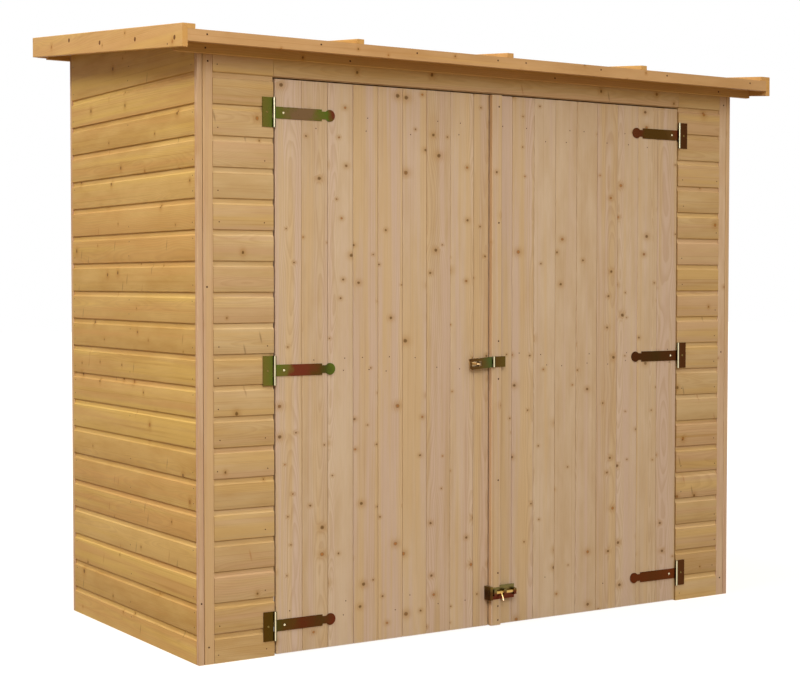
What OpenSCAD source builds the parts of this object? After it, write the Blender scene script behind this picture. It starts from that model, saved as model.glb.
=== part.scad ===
// Wooden garden shed with a pent roof and ledged double doors, in millimetres.
// X runs along the front, Y runs from front to back and Z is up.
// The origin is the middle of the footprint at floor level.
// Every piece is a solid of its own: wall panels, frame, roof, doors, hinges, hasp and bolt.

/* [Body] */
// Width over the outer faces of the side cladding
body_w = 2066; // [1600:1:2600]
// Depth over the outer faces of the front and back cladding
body_d = 966; // [700:1:1400]
// Thickness of the wall cladding
cladding_t = 16; // [12:1:24]
// Wall to the left of the doorway, from the outer face of the side cladding
left_wall_w = 247; // [150:1:400]
// Wall to the right of the doorway, from the outer face of the side cladding
right_wall_w = 241; // [150:1:400]
// Height of the doorway under the header cladding
doorway_h = 1704; // [1400:1:2000]
// Height of the header cladding over the doorway, at its outer face
header_h = 95; // [80:1:200]

/* [Frame] */
// Width of a wall stud, along the wall
stud_w = 44; // [30:1:60]
// Depth of a wall stud, from the cladding inward
stud_t = 28; // [20:1:45]
// Height of the floor-level rails between the studs
bottom_rail_h = 44; // [30:1:60]
// Clearance over the header rail, to the roof boards
header_rail_gap = 36; // [20:1:60]
// Height of the threshold rail under the doors
threshold_h = 28; // [16:1:40]
// Clearance from the threshold rail to the back of the doors
threshold_gap = 6; // [5:1:12]

/* [Corner trims] */
// Width of a corner trim, which stands in the plane of the front and back cladding
trim_w = 50; // [35:1:80]

/* [Roof] */
// Slope of the roof, rising to the back
roof_pitch = 5; // [3:0.5:12]
// Overhang of the roof in front of and behind the body
eaves = 100; // [90:1:200]
// Overhang of the roof at each side of the body
verge = 91; // [60:1:150]
// Thickness of the roof boards, measured upright
deck_t = 16; // [12:1:24]
// Height of the front fascia below the top of the roof boards
front_fascia_h = 35; // [25:1:60]
// Height of the back fascia below the top of the roof boards
back_fascia_h = 52; // [25:1:70]
// Thickness of the fascias and the bargeboards
fascia_t = 16; // [10:1:24]
// Height of a bargeboard, measured upright
bargeboard_h = 65; // [50:1:90]
// Height of the roof battens above the roof boards
batten_h = 14; // [10:1:25]
// Width of a roof batten
batten_w = 24; // [20:1:45]
// Number of roof battens
batten_n = 5; // [3:1:9]
// Depth of the eaves rails, from the wall outward
eaves_rail_t = 18; // [15:1:45]
// Height of the eaves rails under the roof boards
eaves_rail_h = 43; // [30:1:60]
// Width of the purlin under the middle of the roof
purlin_w = 44; // [30:1:60]
// Height of the purlin
purlin_h = 45; // [35:1:70]

/* [Doors] */
// Width of the right leaf
right_leaf_w = 794; // [600:1:900]
// Gap at the hinge edge of each leaf
hinge_gap = 5; // [5:0.5:8]
// Gap between the two leaves
meeting_gap = 6.5; // [6:0.5:10]
// Gap over the leaves
head_gap = 5; // [5:0.5:10]
// Gap under the leaves
foot_gap = 4; // [4:0.5:20]
// Thickness of the door boards
door_board_t = 16; // [12:1:24]
// Height of a door ledge
ledge_h = 90; // [70:1:120]
// Thickness of the ledges and braces
ledge_t = 18; // [14:1:28]
// Set-back of the ledges from the edges of the leaf
ledge_inset = 22; // [15:1:60]
// Height of the lower ledge and hinge, from the foot of the leaf to their middle
low_hinge_rise = 93; // [60:1:160]
// Depth of the upper ledge and hinge, from the head of the leaf to their middle
top_hinge_drop = 90; // [60:1:160]
// Width of a door brace
brace_w = 70; // [50:1:100]
// Width of the cover strip on the right leaf
strip_w = 38; // [30:1:70]
// Thickness of the cover strip
strip_t = 16; // [10:1:22]
// Overlap of the cover strip past the edge of the right leaf
strip_overlap = 1.5; // [0:0.5:1.5]

/* [Hinges] */
// Depth by which the left hinges sit lower than the right ones
left_hinge_drop = 8; // [0:1:10]
// Length of a hinge strap from the pin
strap_len = 207; // [150:1:300]
// Height of a hinge strap
strap_h = 34; // [25:1:45]
// Diameter of the round end of the strap
strap_end_d = 35; // [20:1:44]
// Length of the necked part of the strap before its round end
strap_neck = 10; // [5:1:20]
// Thickness of the hinge metal
hinge_t = 2.4; // [1.5:0.1:2.4]
// Width of the hinge plate on the wall
plate_w = 38; // [25:1:50]
// Height of the hinge plate on the wall
plate_h = 87; // [60:1:120]
// Diameter of a hinge pin
pin_d = 5; // [4:0.5:6]
// Radial clearance of the strap on its pin
pin_clear = 0.05; // [0.02:0.01:0.1]
// Outer diameter of a hinge knuckle
knuckle_d = 9; // [8:0.5:9]
// Distance of the pin axis from the face of the doors
pin_out = 5; // [5:0.5:8]
// Clearance between the knuckles of one hinge
knuckle_gap = 0.5; // [0.3:0.1:1]

/* [Hasp] */
// Length of the hasp arm from its pin
arm_len = 90; // [60:1:100]
// Height of the hasp
hasp_h = 34; // [25:1:45]
// Width of the fixed plate of the hasp
hasp_plate_w = 47; // [25:1:50]
// Distance from the edge of the cover strip to the hasp's pin
hasp_inset = 5; // [4:0.5:10]
// Angle by which the arm and its staple drop from level, away from the pin
arm_droop = 4.5; // [0:0.5:6]
// Radius of the corners at the free end of the arm
arm_corner_r = 6; // [2:0.5:8]
// Thickness of the hasp metal
hasp_t = 2.4; // [1.5:0.1:2.4]
// Length of the slot in the arm
slot_len = 38; // [30:1:42]
// Height of the slot in the arm
slot_h = 16; // [15:0.5:20]
// Distance from the pin to the middle of the slot
slot_at = 65; // [55:1:70]
// Width of the staple over its legs
staple_w = 18; // [14:1:20]
// Diameter of the staple wire
staple_wire = 5; // [4:0.5:6]
// Distance from the hasp pin to the middle of the staple
staple_at = 64; // [55:1:70]
// Reach of the staple from the face of the left leaf
staple_reach = 32; // [28:1:45]
// Thickness of the foot plate under the staple
staple_foot_t = 2.5; // [1.5:0.5:4]
// Height of the foot plate under the staple
staple_foot_h = 34; // [25:1:40]

/* [Bolt] */
// Height of the barrel bolt above the floor, at its middle
bolt_z = 111; // [60:1:200]
// Length of the bolt's back plate
bolt_plate_w = 88; // [70:1:120]
// Height of the bolt's back plate
bolt_plate_h = 45; // [30:1:50]
// Length of the lower end of the back plate, beside the keeper
bolt_step_w = 32; // [20:1:40]
// Depth by which the top of that end is lower
bolt_step_h = 7; // [2:1:10]
// Thickness of the bolt's back plate
bolt_plate_t = 2.5; // [1.5:0.5:4]
// Diameter of the bolt's rod
rod_d = 10; // [8:0.5:12]
// Length of the bolt's rod
rod_len = 92; // [80:1:120]
// Radial clearance of the rod in its guides
rod_clear = 0.1; // [0.05:0.01:0.1]
// Length of each guide of the bolt
guide_w = 10; // [8:1:14]
// Travel of the rod
bolt_travel = 17; // [15:1:24]
// Length of the knob that slides the rod
knob_len = 28; // [15:1:30]
// Diameter of the knob
knob_d = 6; // [5:0.5:9]
// Angle by which the knob leans forward from straight down
knob_lean = 25; // [20:1:60]
// Length of the keeper on the left leaf
keeper_w = 10; // [10:1:25]
// Height of the keeper
keeper_h = 43; // [30:1:50]
// Radial clearance of the rod in the keeper
keeper_clear = 2; // [1:0.5:3]

/* [Hidden] */
// Radial facets of round pieces
$fn = 48;
// Seating clearance between pieces that only rest on each other
seat = 0.2;
// Overlap that lets a cut pass right through
through = 1;
// Half of the free run that the knob keeps to each of its guides
rod_play = 1.5;

// Height of the front wall at its outer face, up to the roof boards
wall_h = doorway_h + header_h;

// Planes of the body
front_y = -body_d / 2;
back_y = body_d / 2;
left_x = -body_w / 2;
right_x = body_w / 2;
front_in = front_y + cladding_t;
back_in = back_y - cladding_t;
left_in = left_x + cladding_t;
right_in = right_x - cladding_t;

// Sides of the doorway
doorway_l = left_x + left_wall_w;
doorway_r = right_x - right_wall_w;

// Edges of the leaves
left_leaf_x0 = doorway_l + hinge_gap;
right_leaf_x1 = doorway_r - hinge_gap;
right_leaf_x0 = right_leaf_x1 - right_leaf_w;
left_leaf_x1 = right_leaf_x0 - meeting_gap;
leaf_top = doorway_h - head_gap;
leaf_mid = (foot_gap + leaf_top) / 2;
hasp_z = leaf_mid;

// Pin axes of the door hinges
left_pin_x = doorway_l;
right_pin_x = doorway_r;
pin_y = front_y - pin_out;
low_hinge_z = foot_gap + low_hinge_rise;
top_hinge_z = leaf_top - top_hinge_drop;
mid_hinge_z = (low_hinge_z + top_hinge_z) / 2;
hinge_zs = [low_hinge_z, mid_hinge_z, top_hinge_z];
left_hinge_zs = [for (z = hinge_zs) z - left_hinge_drop];

// Faces of the cover strip and the hasp
strip_x0 = right_leaf_x0 - strip_overlap;
strip_face = front_y - strip_t;
hasp_pin_x = strip_x0 + hasp_inset;
hasp_pin_y = strip_face - pin_out;
staple_x = hasp_pin_x - staple_at * cos(arm_droop);
staple_z = hasp_z - staple_at * sin(arm_droop);

// Rod axis of the barrel bolt and the ends of its travel
rod_y = strip_face - bolt_plate_t - rod_d / 2 - through;
keeper_x1 = left_leaf_x1 - through;
keeper_x0 = keeper_x1 - keeper_w;
rod_x0 = strip_x0 + through;
bolt_x0 = strip_x0 + through;

// Places of the bolt's guides and knob along its back plate
knob_room = bolt_travel + knob_d + 4 * rod_play;
guide_xs = [0, guide_w + knob_room, bolt_plate_w - guide_w];
knob_x = bolt_x0 + guide_w + knob_room - 2 * rod_play - knob_d / 2;

// Height of the underside and of the top of the roof boards at a given depth
function under(y) = wall_h + (y - front_y) * tan(roof_pitch);
function over(y) = under(y) + deck_t;

// Planes of the roof
roof_y0 = front_y - eaves;
roof_y1 = back_y + eaves;
roof_x0 = left_x - verge;
roof_x1 = right_x + verge;
roof_in0 = roof_x0 + fascia_t;
roof_in1 = roof_x1 - fascia_t;

// Colours
clad_col = [0.80, 0.62, 0.38];
door_col = [0.86, 0.72, 0.55];
frame_col = [0.84, 0.68, 0.47];
trim_col = [0.78, 0.64, 0.55];
metal_col = [0.52, 0.47, 0.26];

/* Shared shapes */

// Box between two corners
module block(a, b) {
    translate(a)
        cube(b - a);
}

// Prism along X of an outline given as [y, z] points
module along_x(x0, x1, points) {
    translate([x0, 0, 0])
        rotate([90, 0, 90])
            linear_extrude(height = x1 - x0)
                polygon(points);
}

// Upright piece whose top follows the underside of the roof boards, lowered by drop
module under_roof(x0, x1, y0, y1, z0, drop = 0) {
    along_x(x0, x1, [
        [y0, z0],
        [y1, z0],
        [y1, under(y1) - drop],
        [y0, under(y0) - drop]
    ]);
}

// Sloping piece between two depths, from low to high above the top of the roof boards
module on_slope(x0, x1, y0, y1, low, high) {
    along_x(x0, x1, [
        [y0, over(y0) + low],
        [y1, over(y1) + low],
        [y1, over(y1) + high],
        [y0, over(y0) + high]
    ]);
}

// Upright cylinder between two heights
module post(x, y, z0, z1, d) {
    translate([x, y, z0])
        cylinder(h = z1 - z0, d = d);
}

/* Walls */

module left_wall_cladding() {
    color(clad_col)
        under_roof(left_x, left_in, front_in, back_in, 0, seat);
}

module right_wall_cladding() {
    color(clad_col)
        under_roof(right_in, right_x, front_in, back_in, 0, seat);
}

module back_wall_cladding() {
    color(clad_col)
        under_roof(left_x + trim_w, right_x - trim_w, back_in, back_y, 0, seat);
}

module front_wall_left() {
    color(clad_col)
        under_roof(left_x + trim_w, doorway_l, front_y, front_in, 0, seat);
}

module front_wall_right() {
    color(clad_col)
        under_roof(doorway_r, right_x - trim_w, front_y, front_in, 0, seat);
}

module front_wall_header() {
    color(clad_col)
        under_roof(doorway_l, doorway_r, front_y, front_in, doorway_h, seat);
}

/* Frame inside the walls */

// Studs of a side wall: front corner, middle and back corner
module side_studs(x0) {
    under_roof(x0, x0 + stud_t, front_in, front_in + stud_w, 0, seat);
    block([x0, -stud_w / 2, 0], [x0 + stud_t, stud_w / 2, under(-purlin_w / 2) - purlin_h - seat]);
    under_roof(x0, x0 + stud_t, back_in - stud_w, back_in, 0, seat);
}

// Floor-level rails of a side wall, between its studs
module side_rails(x0) {
    block([x0, front_in + stud_w, 0], [x0 + stud_t, -stud_w / 2, bottom_rail_h]);
    block([x0, stud_w / 2, 0], [x0 + stud_t, back_in - stud_w, bottom_rail_h]);
}

module left_wall_studs() {
    color(frame_col)
        side_studs(left_in);
}

module right_wall_studs() {
    color(frame_col)
        side_studs(right_in - stud_t);
}

module left_wall_rails() {
    color(frame_col)
        side_rails(left_in);
}

module right_wall_rails() {
    color(frame_col)
        side_rails(right_in - stud_t);
}

// Studs of the back wall, standing between its two rails
module back_wall_studs() {
    color(frame_col)
        for (i = [-1, 0, 1])
            translate([i * body_w / 4, 0, 0])
                under_roof(-stud_w / 2, stud_w / 2, back_in - stud_t, back_in, bottom_rail_h, bottom_rail_h + seat);
}

module back_wall_rails() {
    color(frame_col) {
        block([left_in + stud_t, back_in - stud_t, 0], [right_in - stud_t, back_in, bottom_rail_h]);
        along_x(left_in + stud_t, right_in - stud_t, [
            [back_in - stud_t, under(back_in - stud_t) - bottom_rail_h - seat],
            [back_in, under(back_in) - bottom_rail_h - seat],
            [back_in, under(back_in) - seat],
            [back_in - stud_t, under(back_in - stud_t) - seat]
        ]);
    }
}

// Door posts behind the cladding, flush with the sides of the doorway
module door_posts() {
    color(frame_col) {
        block([doorway_l - stud_w, front_in, 0], [doorway_l, front_in + stud_t, doorway_h]);
        block([doorway_r, front_in, 0], [doorway_r + stud_w, front_in + stud_t, doorway_h]);
    }
}

module header_rail() {
    color(frame_col)
        block(
            [left_in + stud_t, front_in, doorway_h],
            [right_in - stud_t, front_in + stud_t, wall_h - header_rail_gap]
        );
}

module threshold_rail() {
    color(frame_col)
        block(
            [doorway_l, front_in + threshold_gap, 0],
            [doorway_r, front_in + stud_t, threshold_h]
        );
}

/* Corner trims */

module front_corner_trims() {
    color(trim_col)
        for (x = [left_x, right_x - trim_w])
            under_roof(x, x + trim_w, front_y, front_in, 0, seat);
}

module back_corner_trims() {
    color(trim_col)
        for (x = [left_x, right_x - trim_w])
            under_roof(x, x + trim_w, back_in, back_y, 0, seat);
}

/* Roof */

module roof_boards() {
    color(clad_col)
        on_slope(roof_in0, roof_in1, roof_y0 + fascia_t, roof_y1 - fascia_t, -deck_t, 0);
}

// Rail under the front overhang, on the outer face of the front wall
module front_eaves_rail() {
    y0 = front_y - eaves_rail_t;
    color(frame_col)
        under_roof(roof_in0, roof_in1, y0, front_y, under(y0) - eaves_rail_h, seat);
}

// Rail under the back overhang, on the outer face of the back wall
module back_eaves_rail() {
    color(frame_col)
        under_roof(roof_in0, roof_in1, back_y, back_y + eaves_rail_t, under(back_y) - eaves_rail_h, seat);
}

// Purlin inside, under the middle of the roof
module roof_purlin() {
    y0 = -purlin_w / 2;
    color(frame_col)
        under_roof(left_in, right_in, y0, -y0, under(y0) - purlin_h, seat);
}

module front_fascia() {
    y1 = roof_y0 + fascia_t;
    color(clad_col)
        along_x(roof_in0, roof_in1, [
            [roof_y0, over(roof_y0) - front_fascia_h],
            [y1, over(roof_y0) - front_fascia_h],
            [y1, over(y1)],
            [roof_y0, over(roof_y0)]
        ]);
}

module back_fascia() {
    y0 = roof_y1 - fascia_t;
    color(clad_col)
        along_x(roof_in0, roof_in1, [
            [y0, over(roof_y1) - back_fascia_h],
            [roof_y1, over(roof_y1) - back_fascia_h],
            [roof_y1, over(roof_y1)],
            [y0, over(y0)]
        ]);
}

module left_bargeboard() {
    color(clad_col)
        on_slope(roof_x0, roof_in0, roof_y0, roof_y1, batten_h - bargeboard_h, batten_h);
}

module right_bargeboard() {
    color(clad_col)
        on_slope(roof_in1, roof_x1, roof_y0, roof_y1, batten_h - bargeboard_h, batten_h);
}

// Battens from front to back on the roof boards, the outer ones along the bargeboards
module roof_battens() {
    pitch = (roof_in1 - roof_in0 - batten_w) / (batten_n - 1);
    color(frame_col)
        for (i = [0:batten_n - 1])
            translate([roof_in0 + i * pitch, 0, 0])
                on_slope(0, batten_w, roof_y0, roof_y1, 0, batten_h);
}

/* Door leaves */

// Boards of one leaf
module leaf_boards(x0, x1) {
    block([x0, front_y, foot_gap], [x1, front_in - cladding_t + door_board_t, leaf_top]);
}

// Three ledges across the back of one leaf
module leaf_ledges(x0, x1) {
    y0 = front_y + door_board_t;
    for (z = hinge_zs)
        block([x0 + ledge_inset, y0, z - ledge_h / 2], [x1 - ledge_inset, y0 + ledge_t, z + ledge_h / 2]);
}

// Braces between the ledges, rising from the hinge edge
module leaf_braces(x_hinge, x_free) {
    y0 = front_y + door_board_t;
    way = sign(x_free - x_hinge);
    a = x_hinge + way * ledge_inset;
    b = x_free - way * ledge_inset;
    foot = way * brace_w;
    for (zs = [[low_hinge_z, mid_hinge_z], [mid_hinge_z, top_hinge_z]])
        translate([0, y0 + ledge_t, 0])
            rotate([90, 0, 0])
                linear_extrude(height = ledge_t)
                    polygon([
                        [a, zs[0] + ledge_h / 2],
                        [a + foot, zs[0] + ledge_h / 2],
                        [b, zs[1] - ledge_h / 2],
                        [b - foot, zs[1] - ledge_h / 2]
                    ]);
}

module left_door_boards() {
    color(door_col)
        leaf_boards(left_leaf_x0, left_leaf_x1);
}

module left_door_ledges() {
    color(frame_col)
        leaf_ledges(left_leaf_x0, left_leaf_x1);
}

module left_door_braces() {
    color(frame_col)
        leaf_braces(left_leaf_x0, left_leaf_x1);
}

module right_door_boards() {
    color(door_col)
        leaf_boards(right_leaf_x0, right_leaf_x1);
}

module right_door_ledges() {
    color(frame_col)
        leaf_ledges(right_leaf_x0, right_leaf_x1);
}

module right_door_braces() {
    color(frame_col)
        leaf_braces(right_leaf_x1, right_leaf_x0);
}

module door_cover_strip() {
    color(trim_col)
        block([strip_x0, strip_face, foot_gap], [strip_x0 + strip_w, front_y, leaf_top]);
}

/* Hinges */

// Wall half of a hinge: plate, upper and lower knuckle and the pin; way is +1 for a pin on its right
module hinge_plate(x, z, way) {
    half = strap_h / 2 + knuckle_gap;
    notch = knuckle_d / 2 + knuckle_gap;
    difference() {
        block(
            [min(x - way * plate_w, x), front_y - hinge_t, z - plate_h / 2],
            [max(x - way * plate_w, x), front_y, z + plate_h / 2]
        );
        block(
            [x - notch, front_y - hinge_t - through, z - half],
            [x + notch, front_y + through, z + half]
        );
    }
    for (s = [[-plate_h / 2, -half], [half, plate_h / 2]])
        post(x, pin_y, z + s[0], z + s[1], knuckle_d);
    post(x, pin_y, z - plate_h / 2, z + plate_h / 2, pin_d);
}

// Door half of a hinge: strap with a necked round end, and the middle knuckle
module hinge_strap(x, z, way) {
    bore = pin_d + 2 * pin_clear;
    body_len = strap_len - strap_end_d - strap_neck;
    difference() {
        union() {
            translate([x, front_y, z])
                rotate([90, 0, 0])
                    linear_extrude(height = hinge_t) {
                        translate([way > 0 ? 0 : -body_len, -strap_h / 2])
                            square([body_len, strap_h]);
                        translate([way > 0 ? body_len - through : -body_len - strap_neck - strap_end_d / 2, -strap_h / 3])
                            square([strap_neck + strap_end_d / 2 + through, strap_h * 2 / 3]);
                        translate([way * (strap_len - strap_end_d / 2), 0])
                            circle(d = strap_end_d);
                    }
            post(x, pin_y, z - strap_h / 2, z + strap_h / 2, knuckle_d);
        }
        post(x, pin_y, z - strap_h / 2 - through, z + strap_h / 2 + through, bore);
    }
}

module left_hinge_plates() {
    color(metal_col)
        for (z = left_hinge_zs)
            hinge_plate(left_pin_x, z, 1);
}

module right_hinge_plates() {
    color(metal_col)
        for (z = hinge_zs)
            hinge_plate(right_pin_x, z, -1);
}

module left_hinge_straps() {
    color(metal_col)
        for (z = left_hinge_zs)
            hinge_strap(left_pin_x, z, 1);
}

module right_hinge_straps() {
    color(metal_col)
        for (z = hinge_zs)
            hinge_strap(right_pin_x, z, -1);
}

/* Hasp and staple */

// Fixed plate on the cover strip with its two knuckles and the pin
module hasp_plate() {
    mid = hasp_h / 6;
    notch = knuckle_d / 2 + knuckle_gap;
    color(metal_col) {
        difference() {
            block(
                [hasp_pin_x, strip_face - hasp_t, hasp_z - hasp_h / 2],
                [hasp_pin_x + hasp_plate_w, strip_face, hasp_z + hasp_h / 2]
            );
            block(
                [hasp_pin_x - notch, strip_face - hasp_t - through, hasp_z - mid - knuckle_gap],
                [hasp_pin_x + notch, strip_face + through, hasp_z + mid + knuckle_gap]
            );
        }
        for (s = [[-hasp_h / 2, -mid - knuckle_gap], [mid + knuckle_gap, hasp_h / 2]])
            post(hasp_pin_x, hasp_pin_y, hasp_z + s[0], hasp_z + s[1], knuckle_d);
        post(hasp_pin_x, hasp_pin_y, hasp_z - hasp_h / 2, hasp_z + hasp_h / 2, pin_d);
    }
}

// Outline of the arm from its pin, with two round corners at the free end and its slot
module arm_outline() {
    straight = hasp_h - 2 * arm_corner_r;
    difference() {
        union() {
            translate([arm_corner_r - arm_len, -hasp_h / 2])
                square([arm_len - arm_corner_r, hasp_h]);
            translate([-arm_len, -straight / 2])
                square([arm_len, straight]);
            for (y = [-straight / 2, straight / 2])
                translate([arm_corner_r - arm_len, y])
                    circle(r = arm_corner_r);
        }
        translate([-slot_at - slot_len / 2, -slot_h / 2])
            square([slot_len, slot_h]);
    }
}

// Slotted arm that swings on the pin and laps over the staple
module hasp_arm() {
    mid = hasp_h / 6;
    bore = pin_d + 2 * pin_clear;
    root = knuckle_d / 2 + knuckle_gap;
    back = strip_face - knuckle_gap;
    color(metal_col)
        difference() {
            union() {
                post(hasp_pin_x, hasp_pin_y, hasp_z - mid, hasp_z + mid, knuckle_d);
                block(
                    [hasp_pin_x - root - through, back - hasp_t, hasp_z - mid],
                    [hasp_pin_x, back, hasp_z + mid]
                );
                difference() {
                    translate([hasp_pin_x, back, hasp_z])
                        rotate([90, -arm_droop, 0])
                            linear_extrude(height = hasp_t)
                                arm_outline();
                    block(
                        [hasp_pin_x - root, back - hasp_t - through, hasp_z - hasp_h],
                        [hasp_pin_x + hasp_h, back + through, hasp_z + hasp_h]
                    );
                }
            }
            post(hasp_pin_x, hasp_pin_y, hasp_z - hasp_h, hasp_z + hasp_h, bore);
        }
}

// Staple with its foot plate on the left leaf, in line with the arm
module hasp_staple() {
    bend = (staple_w - staple_wire) / 2;
    reach = staple_reach - staple_w / 2;
    color(metal_col)
        translate([staple_x, front_y, staple_z])
            rotate([0, -arm_droop, 0]) {
                block(
                    [-staple_w, -staple_foot_t, -staple_foot_h / 2],
                    [staple_w, 0, staple_foot_h / 2]
                );
                for (x = [-bend, bend])
                    translate([x, -reach, 0])
                        rotate([-90, 0, 0])
                            cylinder(h = reach, d = staple_wire);
                translate([0, -reach, 0])
                    rotate([0, 0, 180])
                        rotate_extrude(angle = 180)
                            translate([bend, 0])
                                circle(d = staple_wire);
            }
}

/* Barrel bolt */

module bolt_body() {
    bore = rod_d + 2 * rod_clear;
    color(metal_col)
        difference() {
            union() {
                block(
                    [bolt_x0, strip_face - bolt_plate_t, bolt_z - bolt_plate_h / 2],
                    [bolt_x0 + bolt_plate_w, strip_face, bolt_z + bolt_plate_h / 2 - bolt_step_h]
                );
                block(
                    [bolt_x0 + bolt_step_w, strip_face - bolt_plate_t, bolt_z],
                    [bolt_x0 + bolt_plate_w, strip_face, bolt_z + bolt_plate_h / 2]
                );
                for (x = guide_xs)
                    block(
                        [bolt_x0 + x, rod_y - rod_d / 2 - bolt_plate_t, bolt_z - rod_d],
                        [bolt_x0 + x + guide_w, strip_face, bolt_z + rod_d]
                    );
            }
            translate([strip_x0, rod_y, bolt_z])
                rotate([0, 90, 0])
                    cylinder(h = bolt_plate_w + 2 * through, d = bore);
        }
}

// Rod with the knob that hangs forward between two guides
module bolt_rod() {
    color(metal_col) {
        translate([rod_x0, rod_y, bolt_z])
            rotate([0, 90, 0])
                cylinder(h = rod_len, d = rod_d);
        translate([knob_x, rod_y, bolt_z])
            rotate([180 - knob_lean, 0, 0])
                cylinder(h = knob_len, d = knob_d);
    }
}

// Keeper block on the left leaf, bored for the rod
module bolt_keeper() {
    color(metal_col)
        difference() {
            block(
                [keeper_x0, rod_y - rod_d / 2 - keeper_clear - bolt_plate_t, bolt_z - keeper_h / 2],
                [keeper_x1, front_y, bolt_z + keeper_h / 2]
            );
            translate([keeper_x0 - through, rod_y, bolt_z])
                rotate([0, 90, 0])
                    cylinder(h = keeper_w + 2 * through, d = rod_d + 2 * keeper_clear);
        }
}

/* Assembly */

left_wall_cladding();
right_wall_cladding();
back_wall_cladding();
front_wall_left();
front_wall_right();
front_wall_header();
left_wall_studs();
right_wall_studs();
back_wall_studs();
left_wall_rails();
right_wall_rails();
back_wall_rails();
door_posts();
header_rail();
threshold_rail();
front_corner_trims();
back_corner_trims();
roof_boards();
front_eaves_rail();
back_eaves_rail();
roof_purlin();
front_fascia();
back_fascia();
left_bargeboard();
right_bargeboard();
roof_battens();
left_hinge_plates();
right_hinge_plates();
left_door_boards();
left_door_ledges();
left_door_braces();
left_hinge_straps();
hasp_staple();
bolt_keeper();
right_door_boards();
right_door_ledges();
right_door_braces();
right_hinge_straps();
door_cover_strip();
hasp_plate();
bolt_body();
hasp_arm();
bolt_rod();
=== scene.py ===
"""Looks of a wooden garden shed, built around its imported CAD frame. Metres, +Z up, doors facing -Y."""

import math
import random

import bmesh
import bpy
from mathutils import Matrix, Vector


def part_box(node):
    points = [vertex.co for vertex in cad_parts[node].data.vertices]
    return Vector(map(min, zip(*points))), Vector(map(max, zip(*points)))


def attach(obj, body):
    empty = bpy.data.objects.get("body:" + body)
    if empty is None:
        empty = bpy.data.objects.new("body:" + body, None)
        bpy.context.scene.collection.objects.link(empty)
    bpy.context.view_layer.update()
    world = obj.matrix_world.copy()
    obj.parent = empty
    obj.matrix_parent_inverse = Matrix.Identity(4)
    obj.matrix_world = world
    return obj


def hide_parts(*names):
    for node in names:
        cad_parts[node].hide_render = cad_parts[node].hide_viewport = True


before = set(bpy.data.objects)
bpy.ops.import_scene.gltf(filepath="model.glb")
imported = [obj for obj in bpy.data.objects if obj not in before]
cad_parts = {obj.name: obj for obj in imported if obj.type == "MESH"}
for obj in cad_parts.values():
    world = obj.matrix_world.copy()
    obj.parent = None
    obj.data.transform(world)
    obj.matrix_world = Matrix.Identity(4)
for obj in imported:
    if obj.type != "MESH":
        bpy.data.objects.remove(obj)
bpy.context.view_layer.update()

MM = 0.001
X, Y, Z = AXES = Vector((1, 0, 0)), Vector((0, 1, 0)), Vector((0, 0, 1))


# Sizes taken from the frame

def low(node):
    return Vector(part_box(node)[0])


def high(node):
    return Vector(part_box(node)[1])


LEFT = low("left_wall_cladding").x
RIGHT = high("right_wall_cladding").x
FRONT = low("front_corner_trims").y
BACK = high("back_corner_trims").y
CLAD_T = high("front_wall_left").y - low("front_wall_left").y
TRIM_L = low("front_wall_left").x     # inner edges of the corner trims
TRIM_R = high("front_wall_right").x
DOOR_L = high("front_wall_left").x
DOOR_R = low("front_wall_right").x
DOOR_TOP = low("front_wall_header").z
EAVES_Y0, EAVES_Y1 = low("left_bargeboard").y, high("left_bargeboard").y
SLOPE = math.radians(5.0)
DECK_GAP = 0.2 * MM                   # from the tops of the walls to the roof boards
WALL_H = high("front_wall_left").z + DECK_GAP - CLAD_T * math.tan(SLOPE)


# Sizes of the boards

BOARD = 90 * MM                       # cover of one cladding board
FIRST_GROOVE = 84 * MM                # height of the lowest cladding joint
LEFT_COVER, RIGHT_COVER = 89 * MM, 88 * MM    # cover of one door board in each leaf
DOOR_LAP = 4.0 * MM                   # the left leaf reaches this far into the gap behind the cover strip
EASE = 1.2 * MM                       # eased edges of most timber
TRIM_EASE = 1.5 * MM                  # those of the corner trims and bargeboards
WIDE_EASE = 1.6 * MM                  # those of the roof boards and the cover strip
DECK = 16 * MM                        # upright thickness of the roof boards
BATTEN = 13.98 * MM                   # a hair under the CAD battens, so that the top stays inside their box
PROUD = 0.25 * MM                     # nail heads end flush with the CAD faces, and boards this far behind
TINY = 1e-6


def under_roof(y):
    return WALL_H + (y - FRONT) * math.tan(SLOPE)


def roof_top(y):
    return under_roof(y) + DECK


ROOF_NORMAL = Vector((0, -math.sin(SLOPE), math.cos(SLOPE)))
ROOF_CUT = (Vector((0, FRONT, WALL_H - DECK_GAP)), ROOF_NORMAL)
TOP_CUT = (Vector((0, EAVES_Y0, roof_top(EAVES_Y0))), ROOF_NORMAL)


# Colours and shader nodes

def seen(r, g, b):
    """A colour as the eye meets it, on a scale to 255, turned into the linear numbers that shaders take."""
    return tuple(c / 255 / 12.92 if c < 10.4 else ((c / 255 + 0.055) / 1.055) ** 2.4 for c in (r, g, b))


def tinted(colour, shares):
    return tuple(c * s for c, s in zip(colour, shares))


def film(*stops):
    """Stops of a colour ramp, from places and colours as the eye meets them."""
    return [(place, seen(*colour)) for place, colour in stops]


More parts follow.
